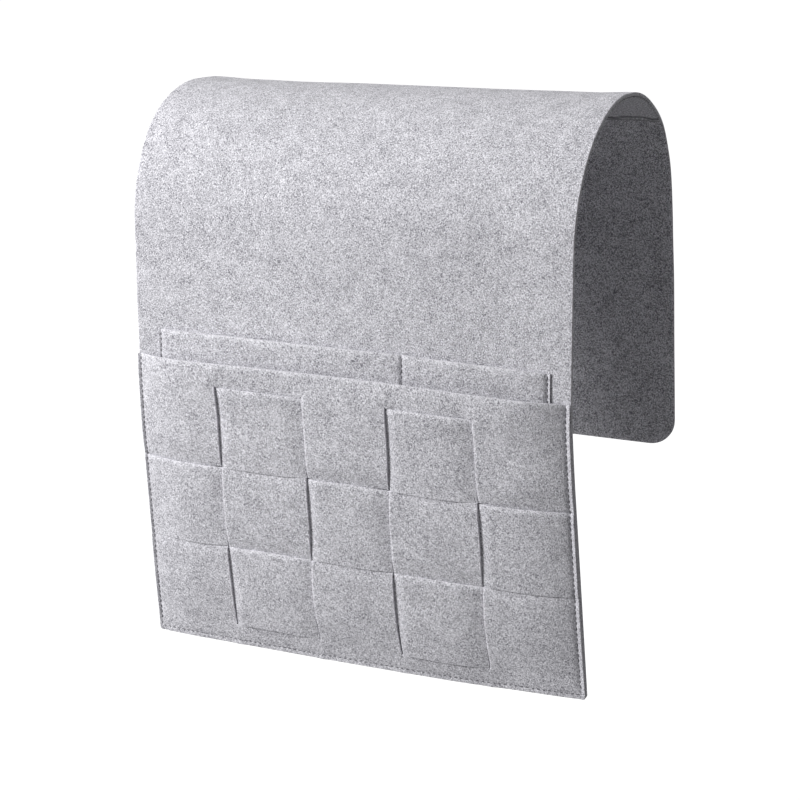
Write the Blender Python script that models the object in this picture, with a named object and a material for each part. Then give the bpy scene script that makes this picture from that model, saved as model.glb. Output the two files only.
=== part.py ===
"""Felt remote control holder: one long felt sheet that hangs over an armrest.

The front of the sheet carries a woven pocket and, behind it, an inner pocket that a
seam divides in two. The sheet runs from its front edge over the crown to its back
edge, and folds along two lines, one at each shoulder of the armrest.

Units are metres. +X runs along the armrest, -Y is the pocket side and +Z is up. The
origin is where the crown rests on the armrest, in the middle of the non-slip liner.

Every piece is cut flat, given its thickness and then laid on the sheet's curve. In
the flat, x runs across the sheet and the second coordinate is the distance from the
middle of the crown, measured along the middle of the felt. On the pockets, down is
the distance from the front panel's top edge.
"""

import math

import bmesh
import bpy
from mathutils import Vector

# Felt sheet, laid flat
SHEET_WIDTH = 0.370
SHEET_LENGTH = 0.881
FELT = 0.003
CLEARANCE = 0.0003
BACK_CORNER_RADIUS = 0.026
FRONT_CORNER_RADIUS = 0.0025
CORNER_STEPS = 6

# Curve of the sheet over the armrest, to the middle of the felt
CROWN_FLAT = 0.010
FRONT_RADIUS = 0.1065
FRONT_TURN = math.radians(90.0)
FRONT_PLUMB = 0.080
LEAN_RUN = 0.100
FRONT_LEAN = math.radians(8.2)
BACK_RADIUS = 0.0995
BACK_TURN = math.radians(84.0)
ARCH_STEPS = 13
LEAN_STEPS = 4

# Fold lines, as the slope of the felt where it folds, and the slit that frees them
FRONT_FOLD_SLOPE = math.radians(65.0)
BACK_FOLD_SLOPE = math.radians(65.0)
FOLD_GAP = 0.0008

# Non-slip liner under the crown
LINER = 0.001
LINER_MARGIN = 0.004
LINER_REACH = 0.075

# Front pocket panel: its top edge down from the crown, and its borders of uncut felt
POCKET_FELT = 0.0026
POCKET_TOP = 0.2773
HEADER = 0.0165
FOOTER = 0.0171
SEAM_INSET = 0.006
BOTTOM_SEAM_INSET = 0.0055

# Weave: bands of the panel between slits, and strips woven through them
BANDS = 5
STRIPS = 3
SLIT = 0.0024
STRIP_PITCH = 0.0692
STRIP_STEPS = 3
STRIP_END_MARGIN = 0.002

# Inner pocket panel, between the places where the front panel comes down to its seams
INNER_RISE = 0.0215
INNER_LEFT_MARGIN = 0.0045
INNER_RIGHT_MARGIN = 0.0005
INNER_BOTTOM_MARGIN = 0.006
INNER_SEAM_INSET = 0.003
INNER_STEPS = 9
DIVIDER_X = 0.050

# How far the pockets stand open at their mouths, and how fast their felt rises there
MOUTH_OPENING = 0.011
MOUTH_DEPTH = 0.065
INNER_MOUTH_OPENING = 0.0048
SIDE_RISE = 0.009
BOTTOM_RISE = 0.036

# Sewing thread
THREAD_WIDTH = 0.0008
THREAD_HEIGHT = 0.0005

# Shares of the mouth opening, from the left seam to the right one
MOUTH_SHARES = (
    (0.00, 0.00),
    (0.10, 0.88),
    (0.24, 0.88),
    (0.42, 0.30),
    (0.58, 0.30),
    (0.74, 1.00),
    (0.90, 1.00),
    (1.00, 0.00),
)
# Shares of an inner compartment's opening, from one of its seams to the other
INNER_MOUTH_SHARES = ((0.00, 0.00), (0.20, 1.00), (0.80, 1.00), (1.00, 0.00))

# Sizes that follow from those above
HALF_WIDTH = SHEET_WIDTH / 2
POCKET_HEIGHT = HEADER + STRIPS * STRIP_PITCH + FOOTER
FRONT_LENGTH = POCKET_TOP + POCKET_HEIGHT
BACK_LENGTH = SHEET_LENGTH - FRONT_LENGTH
CROWN_HEIGHT = LINER + CLEARANCE + FELT / 2
BAND_PITCH = SHEET_WIDTH / BANDS
LEVEL_STEP = POCKET_FELT + CLEARANCE
SEAM_X = HALF_WIDTH - SEAM_INSET
POCKET_SEAM = POCKET_HEIGHT - BOTTOM_SEAM_INSET
FULL_RISE_X = SEAM_X - SIDE_RISE
FULL_RISE_END = POCKET_SEAM - BOTTOM_RISE
INNER_LEFT = INNER_LEFT_MARGIN - FULL_RISE_X
INNER_RIGHT = FULL_RISE_X - INNER_RIGHT_MARGIN
INNER_BOTTOM = FULL_RISE_END - INNER_BOTTOM_MARGIN
INNER_SEAM = INNER_BOTTOM - INNER_SEAM_INSET
FRONT_LEGS = (
    (CROWN_FLAT / 2, 0.0),
    (FRONT_RADIUS * FRONT_TURN, FRONT_TURN),
    (FRONT_PLUMB, 0.0),
    (LEAN_RUN, FRONT_LEAN),
    (FRONT_LENGTH, 0.0),
)
BACK_LEGS = (
    (CROWN_FLAT / 2, 0.0),
    (BACK_RADIUS * BACK_TURN, BACK_TURN),
    (BACK_LENGTH, 0.0),
)
FRONT_FOLD = CROWN_FLAT / 2 + FRONT_RADIUS * FRONT_FOLD_SLOPE
BACK_FOLD = CROWN_FLAT / 2 + BACK_RADIUS * BACK_FOLD_SLOPE

# Looks: colour and roughness
FELT_LOOK = ((0.56, 0.56, 0.58, 1.0), 0.95)
THREAD_LOOK = ((0.30, 0.30, 0.31, 1.0), 0.70)
LINER_LOOK = ((0.36, 0.36, 0.37, 1.0), 0.80)


def follow(distance, legs):
    """Walk down the legs from the middle of the crown: reach, drop and slope there."""
    reach = drop = slope = 0.0
    for length, turn in legs:
        step = min(distance, length)
        if turn:
            radius = length / turn
            bent = slope + step / radius
            reach += radius * (math.sin(bent) - math.sin(slope))
            drop += radius * (math.cos(slope) - math.cos(bent))
            slope = bent
        else:
            reach += step * math.cos(slope)
            drop += step * math.sin(slope)
        distance -= step
        if distance <= 0.0:
            break
    return reach, drop, slope


def drape(x, along, height):
    """Place a flat point on the sheet's curve: front distances are negative, back ones
    positive, and height is measured outwards from the middle of the felt."""
    side = -1.0 if along < 0.0 else 1.0
    reach, drop, slope = follow(abs(along), FRONT_LEGS if along < 0.0 else BACK_LEGS)
    y = side * (reach + math.sin(slope) * height)
    z = CROWN_HEIGHT - drop + math.cos(slope) * height
    return Vector((x, y, z))


def spread(start, end, steps):
    """Evenly spaced values from start to end."""
    return [start + (end - start) * i / steps for i in range(steps + 1)]


def in_order(values):
    """The values in order, without those that lie within a clearance of another."""
    kept = []
    for value in sorted(values):
        if not kept or value - kept[-1] > CLEARANCE:
            kept.append(value)
    return kept


def bends_between(start, end, legs):
    """Distances from start to end where the felt needs a row of points to bend."""
    rows = []
    at = 0.0
    for length, turn in legs:
        steps = 1
        if turn:
            steps = ARCH_STEPS if length / turn < SHEET_WIDTH else LEAN_STEPS
        rows += spread(at, at + length, steps)
        at += length
    inside = [row for row in rows if start + CLEARANCE < row < end - CLEARANCE]
    return in_order([start, end] + inside)


def share_at(shares, place):
    """Read a table of shares at a place from 0 to 1."""
    for (low, low_share), (high, high_share) in zip(shares, shares[1:]):
        if place <= high:
            return low_share + (high_share - low_share) * (place - low) / (high - low)
    return 0.0


def ramp(distance, length):
    """Rise from 0 to 1 over a length."""
    return min(1.0, max(0.0, distance / length))


def cut_flat(columns, rows, keep=None):
    """A flat piece of felt as a grid of faces; keep says which cells the felt fills."""
    bm = bmesh.new()
    points = {}

    def point(i, j):
        if (i, j) not in points:
            points[i, j] = bm.verts.new((columns[i], rows[j], 0.0))
        return points[i, j]

    for j, (low, high) in enumerate(zip(rows, rows[1:])):
        for i, (left, right) in enumerate(zip(columns, columns[1:])):
            if keep is None or keep((left + right) / 2, (low + high) / 2):
                corners = ((i, j), (i + 1, j), (i + 1, j + 1), (i, j + 1))
                bm.faces.new([point(*corner) for corner in corners])
    return bm


def round_corners(bm, row, radius):
    """Round the two outer corners of a flat piece on one of its end rows."""
    corners = [v for v in bm.verts if abs(v.co.y - row) < CLEARANCE and len(v.link_edges) == 2]
    bmesh.ops.bevel(
        bm, geom=corners, offset=radius, segments=CORNER_STEPS, profile=0.5, affect="VERTICES"
    )


def surface(name, look):
    """A piece's own material, in one plain colour."""
    finish = bpy.data.materials.new(name)
    finish.use_nodes = True
    shader = finish.node_tree.nodes["Principled BSDF"]
    colour, roughness = look
    shader.inputs["Base Color"].default_value = colour
    shader.inputs["Roughness"].default_value = roughness
    shader.inputs["Metallic"].default_value = 0.0
    return finish


def make_piece(name, bm, thickness, place, look, joint=None):
    """Give a flat cut its thickness, lay each of its points in place and make the object."""
    grown = bmesh.ops.extrude_face_region(bm, geom=bm.faces[:])
    for element in grown["geom"]:
        if isinstance(element, bmesh.types.BMVert):
            element.co.z = thickness
    origin = joint.location if joint else Vector()
    for vert in bm.verts:
        vert.co = place(vert.co.x, vert.co.y, vert.co.z) - origin
    bmesh.ops.recalc_face_normals(bm, faces=bm.faces[:])
    mesh = bpy.data.meshes.new(name)
    bm.to_mesh(mesh)
    bm.free()
    mesh.materials.append(surface(name, look))
    piece = bpy.data.objects.new(name, mesh)
    bpy.context.collection.objects.link(piece)
    piece.parent = joint


def fold_axis(name, along):
    """The empty on a fold line: the felt folds about its outer face."""
    axis = bpy.data.objects.new(name, None)
    axis.location = drape(0.0, along, FELT / 2)
    bpy.context.collection.objects.link(axis)
    return axis


# Start with an empty scene
for old in list(bpy.data.objects):
    bpy.data.objects.remove(old, do_unlink=True)

front_fold = fold_axis("front_fold_axis", -FRONT_FOLD)
back_fold = fold_axis("back_fold_axis", BACK_FOLD)


# Felt sheet, in three lengths that meet at the fold lines
def on_sheet(x, along, height):
    """Place a point of the sheet itself."""
    return drape(x, along, height - FELT / 2)


sheet_edges = [-HALF_WIDTH, HALF_WIDTH]
front_half = bends_between(CROWN_FLAT / 2, FRONT_FOLD - FOLD_GAP / 2, FRONT_LEGS)
back_half = bends_between(CROWN_FLAT / 2, BACK_FOLD - FOLD_GAP / 2, BACK_LEGS)
crown = cut_flat(sheet_edges, [-row for row in reversed(front_half)] + back_half)
make_piece("saddle_crown", crown, FELT, on_sheet, FELT_LOOK)

front_rows = bends_between(FRONT_FOLD + FOLD_GAP / 2, FRONT_LENGTH, FRONT_LEGS)
front_drop = cut_flat(sheet_edges, [-row for row in reversed(front_rows)])
round_corners(front_drop, -FRONT_LENGTH, FRONT_CORNER_RADIUS)
make_piece("saddle_front_drop", front_drop, FELT, on_sheet, FELT_LOOK, front_fold)

back_rows = bends_between(BACK_FOLD + FOLD_GAP / 2, BACK_LENGTH, BACK_LEGS)
back_drop = cut_flat(sheet_edges, back_rows)
round_corners(back_drop, BACK_LENGTH, BACK_CORNER_RADIUS)
make_piece("saddle_back_drop", back_drop, FELT, on_sheet, FELT_LOOK, back_fold)


# Non-slip liner, bonded under the crown
def under_crown(x, along, height):
    """Place a point of the liner."""
    return drape(x, along, height - FELT / 2 - CLEARANCE - LINER)


liner_edge = HALF_WIDTH - LINER_MARGIN
front_half = bends_between(CROWN_FLAT / 2, LINER_REACH, FRONT_LEGS)
back_half = bends_between(CROWN_FLAT / 2, LINER_REACH, BACK_LEGS)
liner_rows = [-row for row in reversed(front_half)] + back_half
liner = cut_flat([-liner_edge, liner_edge], liner_rows)
make_piece("crown_grip_liner", liner, LINER, under_crown, LINER_LOOK)

# Rows and columns of the weave, which the panel and its strips share
slit_centres = [BAND_PITCH * (band + 1) - HALF_WIDTH for band in range(BANDS - 1)]
slit_top = HEADER - SLIT / 2
slit_bottom = HEADER + STRIP_PITCH * STRIPS + SLIT / 2
weave_columns = [centre + half for centre in slit_centres for half in (-SLIT / 2, SLIT / 2)]
for x in [SEAM_X * (2 * place - 1) for place, share in MOUTH_SHARES] + [-FULL_RISE_X, FULL_RISE_X]:
    if min(abs(x - centre) for centre in slit_centres) > 2 * SLIT:
        weave_columns.append(x)
strip_rows = []
for row in range(STRIPS):
    start = HEADER + STRIP_PITCH * row + SLIT / 2
    end = HEADER + STRIP_PITCH * (row + 1) - SLIT / 2
    strip_rows.append(spread(start, end, STRIP_STEPS))


def pocket_stand(x, down):
    """How far the front panel's back face stands off the sheet."""
    rise = LEVEL_STEP + THREAD_HEIGHT + CLEARANCE
    rise *= ramp(SEAM_X - abs(x), SIDE_RISE) * ramp(POCKET_SEAM - down, BOTTOM_RISE)
    place = ramp(x + SEAM_X, 2 * SEAM_X)
    opening = MOUTH_OPENING * share_at(MOUTH_SHARES, place)
    return CLEARANCE + rise + opening * (1.0 - ramp(down, MOUTH_DEPTH) ** 2)


def band_in_front(x, row):
    """True where a band of the panel passes in front of the strip of that row."""
    band = min(BANDS - 1, int((x + HALF_WIDTH) / BAND_PITCH))
    return (band + row) % 2 == 0


def weave_row(down):
    """The row of the weave that a distance down the pocket lies in, or None."""
    for row, downs in enumerate(strip_rows):
        if downs[0] - CLEARANCE < down < downs[-1] + CLEARANCE:
            return row
    return None


def on_pocket(x, down, height):
    """Place a point at a height over the outer face of the front drop."""
    return drape(x, -(POCKET_TOP + down), FELT / 2 + height)


# Front pocket panel, slit into bands
def on_panel(x, down, height):
    """Place a point of the front panel."""
    row = weave_row(down)
    lifted = LEVEL_STEP if row is not None and band_in_front(x, row) else 0.0
    return on_pocket(x, down, pocket_stand(x, down) + lifted + height)


def outside_slits(x, down):
    """True where the front panel has felt."""
    in_slit = min(abs(x - centre) for centre in slit_centres) < SLIT / 2
    return not (in_slit and slit_top < down < slit_bottom)


panel_rows = [0.0, slit_top, slit_bottom, POCKET_SEAM, POCKET_HEIGHT]
panel_rows = in_order(panel_rows + [down for downs in strip_rows for down in downs])
panel_columns = in_order(weave_columns + sheet_edges)
panel = cut_flat(panel_columns, panel_rows, outside_slits)
round_corners(panel, POCKET_HEIGHT, FRONT_CORNER_RADIUS)
make_piece("front_panel", panel, POCKET_FELT, on_panel, FELT_LOOK, front_fold)


# Strips woven through the bands, each sewn into the side seams by its ends
def on_strip(row):
    """The placing of one strip's points: in front where its bands pass behind."""

    def place(x, down, height):
        lifted = 0.0 if band_in_front(x, row) else LEVEL_STEP
        return on_pocket(x, down, pocket_stand(x, down) + lifted + height)

    return place


strip_end = HALF_WIDTH - STRIP_END_MARGIN
strip_columns = in_order(weave_columns + [-strip_end, strip_end])
for row, downs in enumerate(strip_rows):
    strip = cut_flat(strip_columns, downs)
    make_piece(f"weave_strip_{row + 1}", strip, POCKET_FELT, on_strip(row), FELT_LOOK, front_fold)

# Inner pocket panel, sewn to the sheet behind the front panel
inner_seams = [INNER_LEFT + INNER_SEAM_INSET, DIVIDER_X, INNER_RIGHT - INNER_SEAM_INSET]


def on_inner_panel(x, down, height):
    """Place a point of the inner panel, whose two mouths stand open a little."""
    share = 0.0
    for left, right in zip(inner_seams, inner_seams[1:]):
        if left < x < right:
            share = share_at(INNER_MOUTH_SHARES, (x - left) / (right - left))
    opening = INNER_MOUTH_OPENING * share * (1.0 - ramp(down + INNER_RISE, INNER_RISE) ** 2)
    return on_pocket(x, down, CLEARANCE + opening + height)


inner_columns = [INNER_LEFT, INNER_RIGHT]
for left, right in zip(inner_seams, inner_seams[1:]):
    inner_columns += [left + (right - left) * place for place, share in INNER_MOUTH_SHARES]
inner_rows = spread(-INNER_RISE, 0.0, STRIP_STEPS) + spread(0.0, INNER_BOTTOM, INNER_STEPS)[1:]
inner = cut_flat(in_order(inner_columns), inner_rows)
make_piece("inner_panel", inner, POCKET_FELT, on_inner_panel, FELT_LOOK, front_fold)


# Sewing threads: the needle thread shows on the front, the bobbin thread on the back
def side_and_bottom_seam(left, right, top, bottom, rows):
    """A flat thread down the left side, along the bottom and up the right side."""
    half = THREAD_WIDTH / 2
    inside = [down for down in rows if top + THREAD_WIDTH < down < bottom - THREAD_WIDTH]

    def keep(x, down):
        return abs(x - left) < half or abs(x - right) < half or down > bottom - half

    columns = [left - half, left + half, right - half, right + half]
    return cut_flat(columns, [top] + inside + [bottom - half, bottom + half], keep)


def straight_seam(x, top, bottom, rows):
    """A flat thread straight down the pocket."""
    inside = [down for down in rows if top + THREAD_WIDTH < down < bottom - THREAD_WIDTH]
    return cut_flat([x - THREAD_WIDTH / 2, x + THREAD_WIDTH / 2], [top] + inside + [bottom])


def over_front_panel(x, down, height):
    """Place the needle thread of the pocket seam, over the topmost felt of the border."""
    lifted = 0.0 if weave_row(down) is None else LEVEL_STEP
    return on_pocket(x, down, CLEARANCE + lifted + LEVEL_STEP + height)


def over_inner_panel(x, down, height):
    """Place the needle thread of an inner seam."""
    return on_pocket(x, down, CLEARANCE + LEVEL_STEP + height)


def behind_drop(x, down, height):
    """Place a bobbin thread, on the back face of the front drop."""
    return on_pocket(x, down, height - THREAD_HEIGHT - CLEARANCE - FELT)


bend_rows = [row - POCKET_TOP for row in bends_between(0.0, FRONT_LENGTH, FRONT_LEGS)]
pocket_seam = (-SEAM_X, SEAM_X, THREAD_WIDTH, POCKET_SEAM)
inner_seam = (inner_seams[0], inner_seams[-1], THREAD_WIDTH - INNER_RISE, INNER_SEAM)
divider = (DIVIDER_X, THREAD_WIDTH - INNER_RISE, INNER_SEAM - 2 * THREAD_WIDTH)
seams = (
    ("pocket_seam", side_and_bottom_seam, pocket_seam, panel_rows, over_front_panel),
    ("inner_seam", side_and_bottom_seam, inner_seam, inner_rows, over_inner_panel),
    ("divider_seam", straight_seam, divider, inner_rows, over_inner_panel),
)
for name, lay_thread, ends, rows, in_front in seams:
    for side, rows, place in (("needle", rows, in_front), ("bobbin", bend_rows, behind_drop)):
        thread = lay_thread(*ends, rows)
        thread_name = f"{name}_{side}_thread"
        make_piece(thread_name, thread, THREAD_HEIGHT, place, THREAD_LOOK, front_fold)
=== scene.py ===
import math

import bpy
import numpy as np
from mathutils import Matrix, Vector


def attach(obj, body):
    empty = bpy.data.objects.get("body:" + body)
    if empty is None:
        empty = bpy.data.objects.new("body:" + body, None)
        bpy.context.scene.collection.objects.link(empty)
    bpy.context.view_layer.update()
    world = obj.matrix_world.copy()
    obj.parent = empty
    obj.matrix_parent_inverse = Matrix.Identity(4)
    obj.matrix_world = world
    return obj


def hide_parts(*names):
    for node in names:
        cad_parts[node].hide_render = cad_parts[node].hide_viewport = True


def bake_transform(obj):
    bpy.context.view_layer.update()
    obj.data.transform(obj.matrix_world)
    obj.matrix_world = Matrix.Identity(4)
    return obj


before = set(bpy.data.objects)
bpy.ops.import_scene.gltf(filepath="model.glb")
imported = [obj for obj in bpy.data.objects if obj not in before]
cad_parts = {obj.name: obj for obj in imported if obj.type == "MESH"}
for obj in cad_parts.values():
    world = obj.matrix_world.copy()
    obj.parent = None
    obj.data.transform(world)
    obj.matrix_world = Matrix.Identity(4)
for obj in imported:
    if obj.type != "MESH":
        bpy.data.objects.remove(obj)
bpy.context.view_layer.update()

# Camera
# It stands to the right of the pocket, a little above the crown, and looks slightly
# down, as in the photograph. The lens shift only frames the object as the photo does.
CAMERA_PLACE = (0.7171, -1.4865, 0.1443)
CAMERA_TURN = math.radians(26.0)
CAMERA_TIP = math.radians(11.54)
LENS_LENGTH = 93.78
LENS_SHIFT = -0.0875
SENSOR_WIDTH = 36.0
lens = bpy.data.cameras.new("photo_camera")
lens.lens = LENS_LENGTH
lens.sensor_width = SENSOR_WIDTH
lens.shift_y = LENS_SHIFT
camera = bpy.data.objects.new("photo_camera", lens)
camera.location = CAMERA_PLACE
camera.rotation_euler = (math.pi / 2 - CAMERA_TIP, 0.0, CAMERA_TURN)
bpy.context.scene.collection.objects.link(camera)
bpy.context.scene.camera = camera

# Studio
# A white room with one large soft lamp at the front left and a faint one overhead. The
# felt hangs in the air, so the pale floor lies where the floor of a living room would
# be, an armrest's height below the crown.
FLOOR_DROP = 0.62
FLOOR_SIDE = 60.0
# The floor is a little darker near the felt, and as white as the room from WHITE_TO on
FLOOR_GLOW = 0.90
WHITE_FROM = 0.9
WHITE_TO = 2.0
ROOM_LIGHT = 0.132
LAMP_SIDE = 0.7
LAMP_TARGET = Vector((0.0, -0.06, -0.15))
# Each lamp has a name, a place and a power in watts
LAMPS = (
    ("key_softbox", Vector((-1.30, -1.29, 0.60)), 46.0),
    ("top_softbox", Vector((0.35, 0.10, 1.35)), 6.0),
)


def add_node(tree, kind, links=None, **settings):
    """Add a node to a tree: settings are its properties or sockets, and links its inputs."""
    node = tree.nodes.new(kind)
    for name, value in settings.items():
        if hasattr(node, name):
            setattr(node, name, value)
        else:
            node.inputs[name.replace("_", " ")].default_value = value
    for socket, source in (links or {}).items():
        tree.links.new(source, node.inputs[socket])
    return node


def paint(code):
    """A colour as it is written for a screen, turned to the linear colour of a shader."""
    steps = [int(code[i : i + 2], 16) / 255 for i in (1, 3, 5)]
    line = [s / 12.92 if s <= 0.04045 else ((s + 0.055) / 1.055) ** 2.4 for s in steps]
    return (*line, 1.0)


bpy.context.scene.view_settings.view_transform = "Standard"

room = bpy.data.worlds.new("white_room")
room.use_nodes = True
room.node_tree.nodes.clear()
rays = add_node(room.node_tree, "ShaderNodeLightPath")
seen = rays.outputs["Is Camera Ray"]
for ray in ("Is Glossy Ray", "Is Transmission Ray"):
    either = add_node(
        room.node_tree, "ShaderNodeMath", {0: seen, 1: rays.outputs[ray]}, operation="MAXIMUM"
    )
    seen = either.outputs[0]
strength = add_node(
    room.node_tree, "ShaderNodeMapRange", {"Value": seen}, To_Min=ROOM_LIGHT, To_Max=1.0
)
glow = add_node(
    room.node_tree, "ShaderNodeBackground", {"Strength": strength.outputs["Result"]},
    Color=paint("#ffffff"),
)
add_node(room.node_tree, "ShaderNodeOutputWorld", {"Surface": glow.outputs[0]})
bpy.context.scene.world = room

for name, place, power in LAMPS:
    softbox = bpy.data.lights.new(name, "AREA")
    softbox.shape = "SQUARE"
    softbox.size = LAMP_SIDE
    softbox.energy = power
    lamp = bpy.data.objects.new(name, softbox)
    lamp.location = place
    lamp.rotation_euler = (LAMP_TARGET - place).to_track_quat("-Z", "Y").to_euler()
    bpy.context.scene.collection.objects.link(lamp)

bpy.ops.object.select_all(action="DESELECT")
bpy.ops.mesh.primitive_plane_add(size=FLOOR_SIDE, location=(0.0, 0.0, -FLOOR_DROP))
floor = bpy.context.object
floor.name = "studio_floor"
bpy.ops.object.transform_apply(location=True, rotation=True, scale=True)
# Matt white studio board: it takes a soft shadow, and what is unshaded is as white as the room
board = bpy.data.materials.new("matt_white_board")
board.use_nodes = True
board.node_tree.nodes.clear()
rays = add_node(board.node_tree, "ShaderNodeLightPath")
matt = add_node(board.node_tree, "ShaderNodeBsdfDiffuse", Color=paint("#a8a8a8"))
spot = add_node(board.node_tree, "ShaderNodeTexCoord")
away = add_node(
    board.node_tree, "ShaderNodeVectorMath", {0: spot.outputs["Object"]}, operation="LENGTH"
)
fade = add_node(
    board.node_tree, "ShaderNodeMapRange", {"Value": away.outputs["Value"]},
    From_Min=WHITE_FROM, From_Max=WHITE_TO, To_Min=FLOOR_GLOW, To_Max=1.0,
)
lift = add_node(
    board.node_tree, "ShaderNodeMath", operation="MULTIPLY",
    links={0: rays.outputs["Is Camera Ray"], 1: fade.outputs["Result"]},
)
white = add_node(
    board.node_tree, "ShaderNodeEmission", {"Strength": lift.outputs[0]}, Color=paint("#ffffff")
)
both = add_node(
    board.node_tree, "ShaderNodeAddShader", {0: matt.outputs[0], 1: white.outputs[0]}
)
add_node(board.node_tree, "ShaderNodeOutputMaterial", {"Surface": both.outputs[0]})
floor.data.materials.append(board)

# Felt sheet
# One cut of 3 mm needle-punched polyester felt in a light grey mix, hung over the
# armrest: a short drop at the back and a long one that carries the pockets in front.
# It is made in two lengths that meet on the crown, each closed at its cut edges.
SHEET_WIDTH = 0.370
FELT = 0.003
FRONT_LENGTH = 0.5185
BACK_LENGTH = 0.3625
CROWN_HEIGHT = 0.0028
POCKET_TOP = 0.2773
POCKET_HEIGHT = 0.2412
FRONT_CORNER = 0.0025
BACK_CORNER = 0.022
HALF = SHEET_WIDTH / 2
SEAM_LEFT = 0.0025 - HALF
SEAM_RIGHT = HALF - 0.0037
BOTTOM_SEAM = POCKET_HEIGHT - 0.0040
# How the pocket seam pulls at the felt, and where along the sides it starts
STITCH_REACH = 0.0014
SEAM_DENT = 0.0006
SEAM_START = (-0.001, 0.002)
# A cut edge is a little soft. On the felt, its pale frayed fibres and painted highlight reach this
# far from it, and on the liner this reach is the width of its lines of painted shade
EDGE_SOFTNESS = 0.0005
EDGE_MARK_REACH = 0.0011
# The grid: its step, the reach and the step of the closer lines at a seam, a single extra
# line, the step in a round corner, and the lines in the round of a cut edge
SHEET_STEP = 0.0042
AT_SEAM = (0.0024, 0.0008)
ONE_LINE = (0.0, 1.0)
CORNER_STEP = 0.00325
EDGE_LINES = (0.0, 0.14, 0.44, 1.0)
CLOSEST_LINES = 3e-5
STEP_SLACK = 0.2
ROUNDING = 1e-9
SMOOTH_BELOW = math.radians(45.0)
# A place that is far from every edge and seam
FAR = 1.0
# Each leg of the curve: its length along the middle of the felt, and how far it turns
FRONT_LEGS = (
    (0.005, 0.0),
    (0.1065 * math.radians(90.0), math.radians(90.0)),
    (0.080, 0.0),
    (0.100, math.radians(8.2)),
    (1.0, 0.0),
)
BACK_LEGS = (
    (0.005, 0.0),
    (0.0995 * math.radians(84.0), math.radians(84.0)),
    (1.0, 0.0),
)
# Where the hung felt departs from that curve. A pair is a stretch over which something
# grows: the place where it sets in, and how far on it is full, negative to run back.
# The felt bulges at the left end of the front shoulder
SHOULDER_BULGE = 0.0062
SHOULDER_AT = 0.086
SHOULDER_REACH = 0.056
SHOULDER_ACROSS = (0.02, -0.19)
SHOULDER_DOWN = (0.0, 0.03)
# The drop sways out left of its middle and in near its right end, less at the pockets
SWAY_OUT = 0.0022
SWAY_OUT_AT = -0.020
SWAY_OUT_REACH = 0.085
SWAY_IN = 0.0016
SWAY_IN_AT = 0.128
SWAY_IN_REACH = 0.034
SWAY_DOWN = (0.06, 0.10)
SWAY_STILLED = 0.5
STILLED_DOWN = (0.24, 0.12)
# It stands out a little along its left edge, and spreads towards its lower corners
LEFT_EDGE_OUT = 0.0014
LEFT_EDGE_ACROSS = (-0.095, -0.09)
LEFT_EDGE_DOWN = (0.11, 0.05)
LEFT_EDGE_UP = (0.27, -0.05)
FLARE_LEFT = 0.0048
FLARE_RIGHT = 0.0046
FLARE_FROM = 0.300
FLARE_CURVE_LEFT = 1.2
FLARE_CURVE_RIGHT = 0.9
# The front edge hangs lower at its left and middle than at its right end, and the back
# edge lower at its right
FRONT_EDGE_BOW = 0.0011
BOW_TURN = 2.2
BOW_ACROSS = (0.075, 0.11)
BOW_DOWN = (0.40, 0.12)
BACK_EDGE_LOWER = 0.0012
BACK_EDGE_ACROSS = (-0.04, 0.22)
BACK_EDGE_DOWN = (0.22, 0.14)
# The crown sags between its ends: how much higher it lies at places across the sheet
CROWN_SAGS = (
    (-0.185, 0.0004), (-0.150, -0.0009), (-0.100, -0.0013), (-0.040, -0.0006),
    (0.060, -0.0006), (0.150, -0.0001), (0.185, 0.0013),
)
SAG_DOWN = (0.0, 0.09)
# The back drop wavers: how far it stands out at distances from the middle of the crown
BACK_WAVERS = (
    (0.0, 0.0), (0.048, 0.0), (0.080, 0.0012), (0.112, -0.0008), (0.140, -0.0014),
    (0.175, 0.0002), (0.225, 0.0020), (0.290, 0.0013), (0.370, 0.0010),
)


def ease(value):
    """Rise smoothly from 0 to 1."""
    value = np.clip(value, 0.0, 1.0)
    return value * value * (3.0 - 2.0 * value)


def grow(value, stretch):
    """Rise smoothly from 0 to 1 over a stretch."""
    start, length = stretch
    return ease((value - start) / length)


def hump(distance, reach):
    """1 at a place, falling to 0 at about twice this reach from it."""
    return np.exp(-((distance / reach) ** 2))


def follow(distance, legs):
    """Walk down the legs from the middle of the crown: reach, drop and slope there."""
    reach, drop, slope = (np.zeros_like(distance) for _ in range(3))
    for length, bend in legs:
        step = np.minimum(distance, length)
        if bend:
            radius = length / bend
            bent = slope + step / radius
            reach = reach + radius * (np.sin(bent) - np.sin(slope))
            drop = drop + radius * (np.cos(slope) - np.cos(bent))
            slope = bent
        else:
            reach = reach + step * np.cos(slope)
            drop = drop + step * np.sin(slope)
        distance = distance - step
    return reach, drop, slope


def read_off(table, place):
    """A smooth line through the points of a table."""
    line = np.full_like(place, table[0][1])
    for (start, value), (end, next_value) in zip(table, table[1:]):
        reached = value + (next_value - value) * ease((place - start) / (end - start))
        line = np.where(place >= start, reached, line)
    return line


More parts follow.
